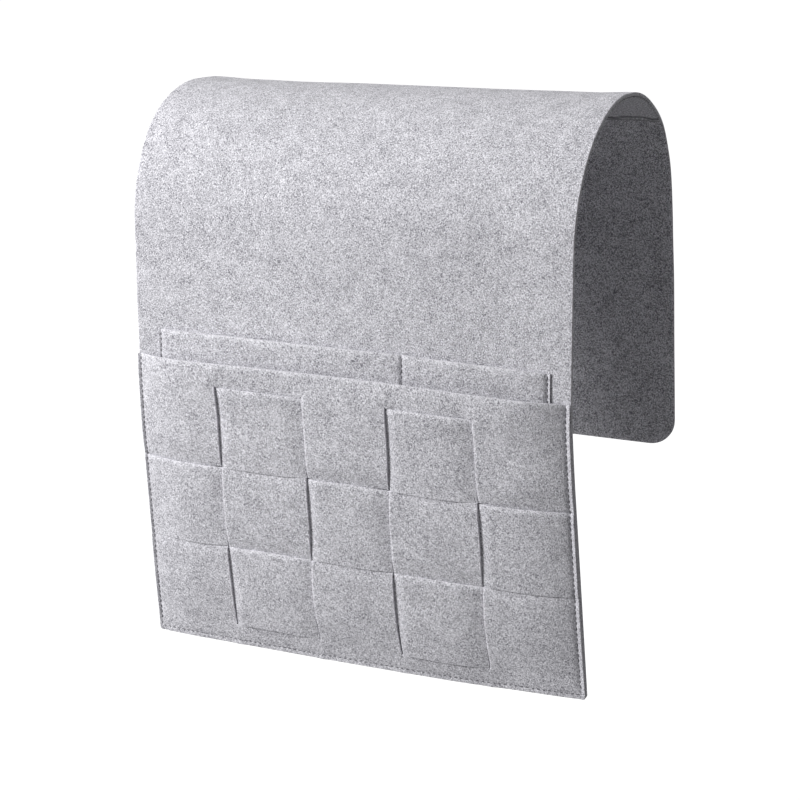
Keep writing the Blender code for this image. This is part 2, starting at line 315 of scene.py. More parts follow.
def hang(x, along, height):
    """Lay flat points on the hung felt: along is the distance from the crown's middle,
    negative to the front, and height the distance off the middle of the sheet."""
    x, along, height = (np.asarray(v, float) for v in np.broadcast_arrays(x, along, height))
    front = along < 0.0
    down = np.abs(along)
    bow = FRONT_EDGE_BOW * (1.0 - BOW_TURN * grow(x, BOW_ACROSS)) * grow(down, BOW_DOWN)
    lower = BACK_EDGE_LOWER * grow(x, BACK_EDGE_ACROSS) * grow(down, BACK_EDGE_DOWN)
    down = down + np.where(front, bow, lower)
    ahead = follow(down, FRONT_LEGS)
    behind = follow(down, BACK_LEGS)
    reach, drop, slope = (np.where(front, a, b) for a, b in zip(ahead, behind))
    bulge = SHOULDER_BULGE * hump(down - SHOULDER_AT, SHOULDER_REACH)
    bulge = bulge * grow(x, SHOULDER_ACROSS) * grow(down, SHOULDER_DOWN)
    sway = SWAY_OUT * hump(x - SWAY_OUT_AT, SWAY_OUT_REACH)
    sway = sway - SWAY_IN * hump(x - SWAY_IN_AT, SWAY_IN_REACH)
    sway = sway * grow(down, SWAY_DOWN) * (1.0 - SWAY_STILLED * grow(down, STILLED_DOWN))
    left_edge = LEFT_EDGE_OUT * grow(x, LEFT_EDGE_ACROSS)
    left_edge = left_edge * grow(down, LEFT_EDGE_DOWN) * grow(down, LEFT_EDGE_UP)
    height = height + np.where(front, bulge + sway + left_edge, read_off(BACK_WAVERS, down))
    low = np.clip((down - FLARE_FROM) / (FRONT_LENGTH - FLARE_FROM), 0.0, 1.0)
    low = low ** np.where(x < 0.0, FLARE_CURVE_LEFT, FLARE_CURVE_RIGHT)
    flare = np.where(x < 0.0, FLARE_LEFT, FLARE_RIGHT) * low * np.where(front, 1.0, 0.0)
    wide = x * (1.0 + flare / HALF)
    y = np.where(front, -1.0, 1.0) * (reach + np.sin(slope) * height)
    sag = read_off(CROWN_SAGS, x) * (1.0 - grow(down, SAG_DOWN))
    z = CROWN_HEIGHT - drop + np.cos(slope) * height + sag
    return np.stack((wide, y, z), axis=-1)


def lines(start, end, step, fine=(), soft=()):
    """Grid lines from start to end a step apart. Each fine place (place, reach, step) has
    closer ones, and each soft one (place, side) has those that round a cut edge."""
    marks = {start, end}
    for place, side in soft:
        marks |= {place + side * EDGE_SOFTNESS * part for part in EDGE_LINES}
    for place, reach, gap in fine:
        count = int(round(reach / gap))
        marks |= {place + gap * i for i in range(-count, count + 1)}
    marks = sorted(m for m in marks if start - ROUNDING <= m <= end + ROUNDING)
    kept = [marks[0]]
    for mark in marks[1:]:
        last = kept[-1]
        space = mark - last
        if space >= CLOSEST_LINES:
            parts = max(1, int(math.ceil(space / step - STEP_SLACK)))
            kept += [last + space * i / parts for i in range(1, parts + 1)]
    return np.array(kept)


def soft_edge(distance):
    """How far a face of the felt falls away at this distance from its cut edge."""
    short = np.clip(EDGE_SOFTNESS - distance, 0.0, EDGE_SOFTNESS)
    return EDGE_SOFTNESS - np.sqrt(EDGE_SOFTNESS**2 - short**2)


def round_corner(x, along, end, radius):
    """Pull the flat grid in at the two corners on the end row, to a round of this radius."""
    side = np.sign(x)
    across = np.abs(x) - (HALF - radius)
    beyond = (along - (end - math.copysign(radius, end))) * math.copysign(1.0, end)
    inside = (across > 0) & (beyond > 0)
    across, beyond = np.where(inside, across, 1.0), np.where(inside, beyond, 1.0)
    pull = np.maximum(across, beyond) / np.hypot(across, beyond)
    new_x = side * (HALF - radius + across * pull)
    new_along = end + math.copysign(1.0, end) * (beyond * pull - radius)
    return np.where(inside, new_x, x), np.where(inside, new_along, along)


def lay_felt(name, columns, rows, faces, place, cut_from, keep=None):
    """Make a closed piece of felt from a flat grid. faces gives the heights of its two
    faces and the distance to its cut edge, place lays it in the room, cut_from is where
    on the roll it was cut, and keep says where it has felt, if not everywhere."""
    x, run = np.meshgrid(columns, rows, indexing="ij")
    outer, inner, edge = faces(x, run)
    points = np.concatenate([place(x, run, h).reshape(-1, 3) for h in (outer, inner)])
    roll_x, roll_run = x + cut_from[0], run + cut_from[1]
    flat = np.concatenate(
        [np.stack((roll_x, roll_run, h), axis=-1).reshape(-1, 3) for h in (outer, inner)]
    )
    tall = len(rows)
    under = x.size
    middle_x, middle_run = (v[:-1, :-1] / 2 + v[1:, 1:] / 2 for v in (x, run))
    kept = np.ones(middle_x.shape, bool) if keep is None else keep(middle_x, middle_run)
    kept = np.pad(kept, 1)
    quads = []
    for i in range(len(columns) - 1):
        for j in range(tall - 1):
            if not kept[i + 1, j + 1]:
                continue
            a, b = i * tall + j, (i + 1) * tall + j
            c, d = b + 1, a + 1
            quads.append((a, b, c, d))
            quads.append((a + under, d + under, c + under, b + under))
            # A cut edge joins the two faces wherever the next square has no felt
            sides = (
                (a, b, kept[i + 1, j]), (b, c, kept[i + 2, j + 1]),
                (c, d, kept[i + 1, j + 2]), (d, a, kept[i, j + 1]),
            )
            quads += [(p, p + under, q + under, q) for p, q, felt in sides if not felt]
    mesh = bpy.data.meshes.new(name)
    used = np.unique(quads)
    number = np.zeros(len(points), int)
    number[used] = np.arange(len(used))
    mesh.from_pydata(points[used].tolist(), [], number[np.array(quads)].tolist())
    cut = mesh.attributes.new("cut_place", "FLOAT_VECTOR", "POINT")
    cut.data.foreach_set("vector", flat[used].astype(np.float32).ravel())
    # cut_edge marks the felt near its cut edges, which are painted paler as frayed fibres and as a
    # painted highlight, and the liner near its hem lines, which are painted shade
    edge_mark = mesh.attributes.new("cut_edge", "FLOAT", "POINT")
    near = hump(np.concatenate([edge.ravel()] * 2), EDGE_MARK_REACH)
    edge_mark.data.foreach_set("value", near[used].astype(np.float32))
    piece = bpy.data.objects.new(name, mesh)
    bpy.context.scene.collection.objects.link(piece)
    bpy.ops.object.select_all(action="DESELECT")
    piece.select_set(True)
    bpy.context.view_layer.objects.active = piece
    bpy.ops.object.mode_set(mode="EDIT")
    bpy.ops.mesh.select_all(action="SELECT")
    bpy.ops.mesh.normals_make_consistent(inside=False)
    bpy.ops.object.mode_set(mode="OBJECT")
    bpy.ops.object.shade_smooth_by_angle(angle=SMOOTH_BELOW)
    return piece


def sheet_faces(end):
    """The faces of a length of the sheet that ends at this row."""

    def faces(x, along):
        edge = np.minimum(HALF - np.abs(x), np.abs(end - along))
        fall = soft_edge(edge)
        dent = SEAM_DENT * stitch_pull(x, np.abs(along) - POCKET_TOP) * (along < 0.0)
        return FELT / 2 - fall, fall + dent - FELT / 2, edge

    return faces


def inside_seam(x):
    """How far a place lies inside the side seams of the pocket; negative outside them."""
    return np.minimum(x - SEAM_LEFT, SEAM_RIGHT - x)


def stitch_pull(x, down):
    """1 on the line of the pocket seam, falling to 0 beside it."""
    beside = np.where(down < BOTTOM_SEAM, np.abs(inside_seam(x)), FAR)
    below = np.where(inside_seam(x) > 0.0, np.abs(BOTTOM_SEAM - down), FAR)
    return hump(np.minimum(beside, below), STITCH_REACH) * grow(down, SEAM_START)


def sheet_place(end, corner):
    """The placing of a length of the sheet, with its end corners rounded."""

    def place(x, along, height):
        cut_x, cut_along = round_corner(x, along, end, corner)
        return hang(cut_x, cut_along, height)

    return place


seam_lines = [(seam, *AT_SEAM) for seam in (SEAM_LEFT, SEAM_RIGHT)]
side_edges = [(-HALF, 1), (HALF, -1)]
felt_sheet_front = lay_felt(
    "felt_sheet_front",
    lines(-HALF, HALF, SHEET_STEP, fine=seam_lines, soft=side_edges),
    lines(
        -FRONT_LENGTH, 0.0, SHEET_STEP, soft=[(-FRONT_LENGTH, 1)],
        fine=[(-POCKET_TOP - BOTTOM_SEAM, *AT_SEAM), (FRONT_CORNER - FRONT_LENGTH, *ONE_LINE)],
    ),
    sheet_faces(-FRONT_LENGTH), sheet_place(-FRONT_LENGTH, FRONT_CORNER), cut_from=(0.0, 0.0),
)
round_lines = [(side * (HALF - BACK_CORNER / 2), BACK_CORNER / 2, CORNER_STEP) for side in (-1, 1)]
felt_sheet_back = lay_felt(
    "felt_sheet_back",
    lines(-HALF, HALF, SHEET_STEP, fine=round_lines, soft=side_edges),
    lines(0.0, BACK_LENGTH, SHEET_STEP, soft=[(BACK_LENGTH, -1)]),
    sheet_faces(BACK_LENGTH), sheet_place(BACK_LENGTH, BACK_CORNER), cut_from=(0.0, 0.0),
)

# Needle-punched polyester felt: pale and dark grey fibres lie tangled in the plane of
# the cloth, so it looks flecked close up and evenly grey from afar, quite matt, with a
# faint bloom of loose fibre ends. The flecks are 0.7 to 3 mm long, as in the photo.
FIBRE_DARK = paint("#6f6e76")
FIBRE_MIDDLE = paint("#c5c4ca")
FIBRE_PALE = paint("#f8f7fd")
FIBRE_FRAYED_AND_HIGHLIGHT = paint("#f4f3f9")
FLECKS_PER_METRE = 1400.0
STREAKS_PER_METRE = 1300.0
# The streaks run two ways: the turn of each, and the squeeze and shift of its pattern
STREAK_WAYS = (
    (38.0, (1.0, 0.6, 1.0), (0.0, 0.0, 0.0)),
    (-52.0, (0.6, 1.0, 1.0), (0.3, 0.7, 0.0)),
)
# They gather in tufts and in patches: these have a number a metre, detail, roughness and
# how much paler or darker they are
TUFTS = (330.0, 1.0, 0.5, 0.26)
PATCHES = (60.0, 2.0, 0.6, 0.18)
# All these together lie around a middle level, and reach the end colours this far from it
MIDDLE_LEVEL = 1.5
LEVEL_SPREAD = 0.52
BACK_CONTRAST = 1.5
BACK_FROM = 0.0008


def new_look(name):
    """A new material, its node tree and its shader."""
    look = bpy.data.materials.new(name)
    look.use_nodes = True
    return look, look.node_tree, look.node_tree.nodes["Principled BSDF"]


def needle_felt(name):
    """The felt's material."""
    felt, tree, shader = new_look(name)
    place = add_node(tree, "ShaderNodeAttribute", attribute_name="cut_place")
    # Fibres lie flat: the pattern is squeezed through the thickness of the felt
    layered = add_node(
        tree, "ShaderNodeMapping", {"Vector": place.outputs["Vector"]}, Scale=(1.0, 1.0, 2.5)
    )
    flecks = add_node(
        tree, "ShaderNodeTexNoise", {"Vector": layered.outputs[0]},
        Scale=FLECKS_PER_METRE, Detail=0.0, Distortion=0.3,
    )
    fibres = [flecks]
    for turn, squeeze, shift in STREAK_WAYS:
        way = add_node(
            tree, "ShaderNodeMapping", {"Vector": layered.outputs[0]},
            Rotation=(0.0, 0.0, math.radians(turn)), Scale=squeeze, Location=shift,
        )
        streaks = add_node(
            tree, "ShaderNodeTexNoise", {"Vector": way.outputs[0]},
            Scale=STREAKS_PER_METRE, Detail=0.0, Distortion=0.5,
        )
        fibres.append(streaks)
    for per_metre, detail, roughness, tone in (TUFTS, PATCHES):
        gathered = add_node(
            tree, "ShaderNodeTexNoise", {"Vector": place.outputs["Vector"]},
            Scale=per_metre, Detail=detail, Roughness=roughness,
        )
        toned = add_node(
            tree, "ShaderNodeMapRange", {"Value": gathered.outputs[0]}, To_Min=-tone, To_Max=tone
        )
        fibres.append(toned)
    level = fibres[0]
    for more in fibres[1:]:
        level = add_node(
            tree, "ShaderNodeMath", {0: level.outputs[0], 1: more.outputs[0]}, operation="ADD"
        )
    # The back of the felt is coarser than its face, with more of the dark fibres in tufts
    through = add_node(tree, "ShaderNodeSeparateXYZ", {0: place.outputs["Vector"]})
    coarse = add_node(
        tree, "ShaderNodeMapRange", {"Value": through.outputs["Z"]},
        From_Min=-BACK_FROM, From_Max=BACK_FROM, To_Min=BACK_CONTRAST, To_Max=1.0,
    )
    swing = add_node(tree, "ShaderNodeMath", {0: level.outputs[0]}, operation="SUBTRACT")
    swing.inputs[1].default_value = MIDDLE_LEVEL
    swing = add_node(
        tree, "ShaderNodeMath", {0: swing.outputs[0], 1: coarse.outputs["Result"]},
        operation="MULTIPLY",
    )
    share = add_node(
        tree, "ShaderNodeMapRange", {"Value": swing.outputs[0]},
        From_Min=-LEVEL_SPREAD, From_Max=LEVEL_SPREAD,
    )
    colours = add_node(tree, "ShaderNodeValToRGB", {"Fac": share.outputs["Result"]})
    ramp = colours.color_ramp
    ramp.elements[0].color, ramp.elements[0].position = FIBRE_DARK, 0.0
    ramp.elements[1].color, ramp.elements[1].position = FIBRE_PALE, 1.0
    ramp.elements.new(0.5).color = FIBRE_MIDDLE
    # Along every cut edge the colour is mixed towards near white: pale frayed fibre ends, and a
    # painted highlight for the light that the edges catch
    fray_and_highlight_mask = add_node(tree, "ShaderNodeAttribute", attribute_name="cut_edge")
    fuzz_and_highlight = add_node(
        tree, "ShaderNodeMath", {0: fray_and_highlight_mask.outputs["Fac"], 1: share.outputs["Result"]},
        operation="MULTIPLY",
    )
    fuzz_and_highlight = add_node(
        tree, "ShaderNodeMapRange", {"Value": fuzz_and_highlight.outputs[0]}, From_Max=0.6, To_Max=0.46
    )
    edged = add_node(
        tree, "ShaderNodeMix", {0: fuzz_and_highlight.outputs["Result"], 6: colours.outputs["Color"]},
        data_type="RGBA",
    )
    edged.inputs[7].default_value = FIBRE_FRAYED_AND_HIGHLIGHT
    dull = add_node(
        tree, "ShaderNodeMapRange", {"Value": share.outputs["Result"]}, To_Min=1.0, To_Max=0.86
    )
    pile = add_node(
        tree, "ShaderNodeBump", {"Height": level.outputs[0]}, Strength=0.35, Distance=0.0006
    )
    tree.links.new(edged.outputs[2], shader.inputs["Base Color"])
    tree.links.new(dull.outputs["Result"], shader.inputs["Roughness"])
    tree.links.new(pile.outputs["Normal"], shader.inputs["Normal"])
    shader.inputs["Specular IOR Level"].default_value = 0.2
    shader.inputs["Sheen Weight"].default_value = 0.12
    shader.inputs["Sheen Roughness"].default_value = 0.6
    return felt


sheet_felt = needle_felt("needle_punched_sheet_felt")
for piece in (felt_sheet_front, felt_sheet_back):
    piece.data.materials.append(sheet_felt)
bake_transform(felt_sheet_front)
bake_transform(felt_sheet_back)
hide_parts("saddle_crown", "saddle_front_drop")
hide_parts("saddle_back_drop")

# Non-slip liner
# A thin grey cloth with a rubbery coating, bonded under the crown so that the holder
# stays put. It is smoother than the felt, and its two cut edges curl off a little.
LINER = 0.001
LINER_GAP = 0.0003
LINER_REACH = 0.075
LINER_HALF = HALF - 0.0003
LINER_SOFTNESS = 0.0003
LINER_LINES = (0.0063, 0.0007)
# Waves that are never quite regular: two numbers in radians a metre, and a shift
EDGE_WAVER = 0.0012
EDGE_WAVES = (83.0, 31.0, 0.7)
CURL = 0.0009
CURL_REACH = 0.006
CURL_UNEVEN = 0.25
CURL_WAVES = (190.0, 67.0, 1.0)
# The hem's width, the waver and the ripple of its inner line, and the dent between its lines
HEM = 0.0038
HEM_WAVER = 0.0010
HEM_WAVES = (57.0, 141.0, 2.0)
HEM_RIPPLE = 0.0005
HEM_RIPPLES = 410.0
HEM_DENT = 0.0005
HEM_DENT_REACH = 0.0013
# The distance to a line of painted shade is scaled to draw it: wider at the cut edge, and both
# narrower
CUT_LINE_WIDER = 0.6
LINES_NARROWER = 1.25


def waver(x, waves):
    """An uneven wave across the liner, between -1 and 1."""
    first, second, shift = waves
    return np.sin(x * first + shift) * np.sin(x * second)


def liner_faces(x, along):
    """The faces of the liner, whose long edges curl down from the felt."""
    fall = LINER_SOFTNESS - np.clip(LINER_HALF - np.abs(x), 0.0, LINER_SOFTNESS)
    off = LINER_REACH - np.abs(along)
    curl = CURL * ease(1.0 - off / CURL_REACH)
    curl = curl * (1.0 - CURL_UNEVEN + CURL_UNEVEN * waver(x, CURL_WAVES))
    dent = HEM_DENT * hump(off - 0.5 * HEM, HEM_DENT_REACH)
    outer = -FELT / 2 - LINER_GAP - curl - dent
    # Two lines of painted shade along the hem: one at its cut edge, which curls off the felt, and
    # one a hem's width in from it
    inner_line = HEM + HEM_WAVER * waver(x, HEM_WAVES) + HEM_RIPPLE * np.sin(x * HEM_RIPPLES)
    hem = np.minimum(CUT_LINE_WIDER * np.abs(off), np.abs(off - inner_line))
    return outer - fall, outer - LINER + fall, LINES_NARROWER * hem


def liner_place(x, along, height):
    """The liner's long edges waver a little, as cut by hand."""
    aside = EDGE_WAVER * waver(x, EDGE_WAVES) * ease(np.abs(along) / LINER_REACH)
    return hang(x, along + np.sign(along) * aside, height)


crown_grip = lay_felt(
    "crown_grip",
    lines(-LINER_HALF, LINER_HALF, SHEET_STEP, soft=[(-LINER_HALF, 1), (LINER_HALF, -1)]),
    lines(
        -LINER_REACH, LINER_REACH, SHEET_STEP,
        fine=[(-LINER_REACH, *LINER_LINES), (LINER_REACH, *LINER_LINES)],
    ),
    liner_faces, liner_place, cut_from=(0.4, 0.9),
)
# Knitted cloth with a soft rubber coating: dull and even, with fine raised ribs that
# are drawn 2.2 mm apart, coarser than the real knit so that they show
GRIP_GREY = paint("#ecebf0")
GRIP_DARK = paint("#a3a2a8")
# Near black, for the painted shade along the hems
GRIP_HEM_SHADE = paint("#2b2a2f")
# A wave texture of scale 1 repeats every pi / 10 metres
RIB_PITCH = 0.0021713
rubbery, tree, shader = new_look("rubber_coated_knit")
place = add_node(tree, "ShaderNodeAttribute", attribute_name="cut_place")
ribs = add_node(
    tree, "ShaderNodeTexWave", {"Vector": place.outputs["Vector"]},
    wave_type="BANDS", bands_direction="X", Scale=math.pi / 10.0 / RIB_PITCH, Distortion=1.0,
)
dust = add_node(
    tree, "ShaderNodeTexNoise", {"Vector": place.outputs["Vector"]},
    Scale=700.0, Detail=1.0, Roughness=0.6,
)
speckle = add_node(
    tree, "ShaderNodeMapRange", {"Value": dust.outputs[0]}, From_Min=0.35, From_Max=0.65
)
tone = add_node(tree, "ShaderNodeMix", {0: speckle.outputs["Result"]}, data_type="RGBA")
tone.inputs[6].default_value = GRIP_DARK
tone.inputs[7].default_value = GRIP_GREY
# Painted shade: the two hem lines are mixed towards near black, broken up by the speckle
hem_shade_mask = add_node(tree, "ShaderNodeAttribute", attribute_name="cut_edge")
shade_broken_up = add_node(
    tree, "ShaderNodeMapRange", {"Value": dust.outputs[0]}, From_Min=0.3, From_Max=0.55, To_Min=0.2
)
hem_shade_mask = add_node(
    tree, "ShaderNodeMath", {0: hem_shade_mask.outputs["Fac"], 1: shade_broken_up.outputs["Result"]},
    operation="MULTIPLY",
)
hem_shaded = add_node(
    tree, "ShaderNodeMix", {0: hem_shade_mask.outputs[0], 6: tone.outputs[2]}, data_type="RGBA"
)
hem_shaded.inputs[7].default_value = GRIP_HEM_SHADE
rib_bump = add_node(
    tree, "ShaderNodeBump", {"Height": ribs.outputs[0]}, Strength=0.25, Distance=0.0003
)
tree.links.new(hem_shaded.outputs[2], shader.inputs["Base Color"])
tree.links.new(rib_bump.outputs["Normal"], shader.inputs["Normal"])
shader.inputs["Roughness"].default_value = 0.75
shader.inputs["Specular IOR Level"].default_value = 0.3
crown_grip.data.materials.append(rubbery)
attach(crown_grip, "crown")
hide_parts("crown_grip_liner")

# Inner pocket panel
# A plain rectangle of thinner felt, sewn to the front drop along its sides, its bottom
# and a divider right of the middle, so that it makes two flat pockets behind the weave.
POCKET_FELT = 0.0026
GAP = 0.0002
INNER_RISE = 0.0210
INNER_LEFT = -0.1655
INNER_RIGHT = 0.1688
INNER_BOTTOM = 0.1937
INNER_SEAMS = (-0.1632, 0.050, 0.1664)
INNER_SEAM = 0.1907
INNER_GAPE = 0.0030
INNER_MOUTH_DEPTH = 0.045
INNER_MOUTH_ROUND = 0.8
# Its side seams press the felt to this share over this reach, and each seam dents it
INNER_THINNED = 0.5
THINNED_REACH = 0.014
INNER_DENT = 0.0010
AT_INNER_SEAM = (0.003, 0.001)
# How far the pockets were sewn askew, up at the left and down at the right, and how
# far they are drawn up between their side seams
ASKEW = 0.0020
ASKEW_LIMIT = 1.1
LIFT = 0.0024
HEADER = 0.0165


def askew(x, down):
    """How much further down a point of a pocket lies than it would if sewn square."""
    aslant = ASKEW * x / HALF * np.clip(1.0 - down / POCKET_HEIGHT, 0.0, ASKEW_LIMIT)
    return aslant - LIFT * (1.0 - (x / HALF) ** 2) * (1.0 - ease(down / HEADER))


def on_drop(x, down, height):
    """Lay points on the front drop, down from the front pocket's mouth."""
    return hang(x, -(POCKET_TOP + down + askew(x, down)), FELT / 2 + height)


def inner_stand(x, down):
    """How far the inner panel's back face stands off the sheet."""
    share = np.zeros_like(x)
    for left, right in zip(INNER_SEAMS, INNER_SEAMS[1:]):
        inside = np.clip((x - left) / (right - left), 0.0, 1.0)
        share = share + np.sin(math.pi * inside) ** INNER_MOUTH_ROUND
    return GAP + INNER_GAPE * share * (1.0 - ease((down + INNER_RISE) / INNER_MOUTH_DEPTH))


def inner_seam_pull(x, down):
    """1 on a seam of the inner panel, falling to 0 beside it."""
    beside = np.min([np.abs(x - seam) for seam in INNER_SEAMS], axis=0)
    below = np.abs(down - INNER_SEAM)
    return hump(np.minimum(beside, below), STITCH_REACH)


def inner_faces(x, down):
    """The faces of the inner panel."""
    beside = np.minimum(x - INNER_LEFT, INNER_RIGHT - x)
    edge = np.minimum(beside, np.minimum(down + INNER_RISE, INNER_BOTTOM - down))
    fall = soft_edge(edge)
    back = inner_stand(x, down)
    thick = POCKET_FELT * (1.0 - INNER_THINNED * (1.0 - ease(beside / THINNED_REACH)))
    front = back + thick - INNER_DENT * inner_seam_pull(x, down)
    return front - fall, back + fall, edge


inner_panel = lay_felt(
    "inner_pocket",
    lines(
        INNER_LEFT, INNER_RIGHT, SHEET_STEP, fine=[(seam, *AT_INNER_SEAM) for seam in INNER_SEAMS],
        soft=[(INNER_LEFT, 1), (INNER_RIGHT, -1)],
    ),
    lines(
        -INNER_RISE, INNER_BOTTOM, SHEET_STEP, fine=[(INNER_SEAM, *AT_INNER_SEAM)],
        soft=[(-INNER_RISE, 1), (INNER_BOTTOM, -1)],
    ),
    inner_faces, on_drop, cut_from=(1.3, 0.4),
)
pocket_felt = needle_felt("needle_punched_pocket_felt")
inner_panel.data.materials.append(pocket_felt)
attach(inner_panel, "front_drop")
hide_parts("inner_panel")

# Front pocket panel
# The same felt, as wide as the sheet, slit into five bands between a top and a bottom
# border. Sewn to the drop along its sides and bottom, its mouth gapes left and right.
STRIP_PITCH = 0.0692
SLITS = (-0.1095, -0.0339, 0.0370, 0.1099)
SLIT_HALF = 0.0003
STRIP_GAP = 0.0003
SLIT_TOP = HEADER - 0.0008
SLIT_BOTTOM = HEADER + 3 * STRIP_PITCH + 0.0002
BAND_BORDERS = tuple(HEADER + STRIP_PITCH * n for n in (0, 1, 2, 3))
BAND_WALLS = np.array((-HALF, *SLITS, HALF))
WEAVE_STEP = 0.0030
AT_SLIT = (0.0045, 0.0009)
# Felt that squeezes past an edge is pressed thin there, and the edges that it
# goes under roll over a little
PRESSED = 0.30
PRESSED_BELOW = 0.66
PRESS_LENGTH = 0.008
SINK = POCKET_FELT * (1.0 - PRESSED) + GAP
SINK_BELOW = POCKET_FELT * (1.0 - PRESSED_BELOW) + GAP
SINK_LENGTH = 0.018
LAST_SINK_LENGTH = 0.045
SINK_CURVE = 1.6
RISE_LENGTH = 0.008
ROLL = 0.0008
ROLL_LENGTH = 0.0019
# The borders lie at these depths, and around the ends of the slits all bands lie level,
# at one depth at the top ends and another at the bottom ends
MOUTH_LEVEL = 0.0012
FOOTER_LEVEL = 0.0024
SLIT_END_LEVELS = (0.0009, 0.0018)
SLIT_END_REACH = 0.007
# The weave stands off the sheet from its seams on, fullest in its middle, and each of
# its squares swells a little, no two quite alike
STAND = POCKET_FELT + 3 * GAP
SIDE_RISE = 0.048
BOTTOM_RISE = 0.075
FULLNESS = 0.0008
FULLNESS_REACH = 0.065
PILLOW = 0.0006
PILLOW_MIDDLE = 0.85
PILLOW_UNEVEN = 0.3
UNLIKE_BANDS = 3.1
UNLIKE_ROWS = 5.3
# The side seams press the layers thin, the stitches dent them, and the layers splay
# apart outside the stitches
SEWN_REACH = 0.040
SEWN_THIN = 0.55
SEWN_LEVEL = 0.5
SIDE_DENT = 0.0008
BOTTOM_DENT = 0.00025
SIDE_DENT_ENDS = 0.003
SPLAY = 0.0007
SPLAY_REACH = 0.0035
SPLAY_LIMIT = 1.1
BOTTOM_SPLAY = 0.15
# However hard it is pressed, felt keeps these thicknesses in front and behind. A layer
# behind sinks no further than this, and an edge rounds off no more than this share of it
THINNEST = 0.0006
THINNEST_BEHIND = 0.0005
SINK_LIMIT = 0.0003
ROUNDED_SHARE = 0.45
# How far the mouth gapes, and the share of that gape at places across it
MOUTH_GAPE = 0.0055
MOUTH_DEPTH = 0.050
MOUTH_CURVE = 1.3
MOUTH_SHARES = (
    (-0.179, 0.0), (-0.172, 0.22), (-0.160, 0.55), (-0.145, 0.80), (-0.125, 0.88), (-0.100, 0.80),
    (-0.070, 0.58), (-0.030, 0.32), (0.010, 0.26), (0.050, 0.45), (0.085, 0.78), (0.115, 0.98),
    (0.135, 1.0), (0.152, 0.82), (0.165, 0.50), (0.174, 0.20), (0.179, 0.0),
)


def pocket_stand(x, down):
    """How far the lower layer of the weave stands off the sheet."""
    places, shares = zip(*MOUTH_SHARES)
    gape = MOUTH_GAPE * np.interp(x, places, shares)
    gape = gape * (1.0 - ease(down / MOUTH_DEPTH)) ** MOUTH_CURVE
    side = 1.0 - np.clip(1.0 - inside_seam(x) / SIDE_RISE, 0.0, 1.0) ** 2
    bottom = np.sin(math.pi / 2 * np.clip((BOTTOM_SEAM - down) / BOTTOM_RISE, 0.0, 1.0))
    full = FULLNESS * ease(inside_seam(x) / FULLNESS_REACH)
    full = full * ease((BOTTOM_SEAM - down) / FULLNESS_REACH)
    return GAP + STAND * side * bottom + full + gape


def band_number(x):
    """Which of the five bands a place across the panel lies in, from 0."""
    return np.sum([x > slit for slit in SLITS], axis=0)


def row_number(down):
    """Which of the three rows of the weave a place down the panel lies in, from 0."""
    return np.clip(np.floor((down - HEADER) / STRIP_PITCH), 0, 2).astype(int)


def pillow(x, down):
    """How far the middle of each square of the weave swells."""
    band = band_number(x)
    across = (x - BAND_WALLS[band]) / (BAND_WALLS[band + 1] - BAND_WALLS[band])
    below = np.clip((down - HEADER) / STRIP_PITCH, 0.0, 3.0) % 1.0
    unlike = np.sin(UNLIKE_BANDS * band + UNLIKE_ROWS * row_number(down))
    uneven = PILLOW_MIDDLE + PILLOW_UNEVEN * unlike
    return PILLOW * uneven * np.sin(math.pi * across) * np.sin(math.pi * below)


def going_under(before, length=SINK_LENGTH):
    """Rises to 1 at the edge that a layer goes under."""
    return np.clip(1.0 - before / length, 0.0, 1.0) ** SINK_CURVE


def coming_up(past, length=RISE_LENGTH):
    """Falls from 1 at the edge that a layer comes up from."""
    return 1.0 - ease(past / length)


def sewn_down(x):
    """1 at the side seams, which press the layers thin, falling to 0 inside them."""
    return np.clip(1.0 - inside_seam(x) / SEWN_REACH, 0.0, 1.0) ** 2


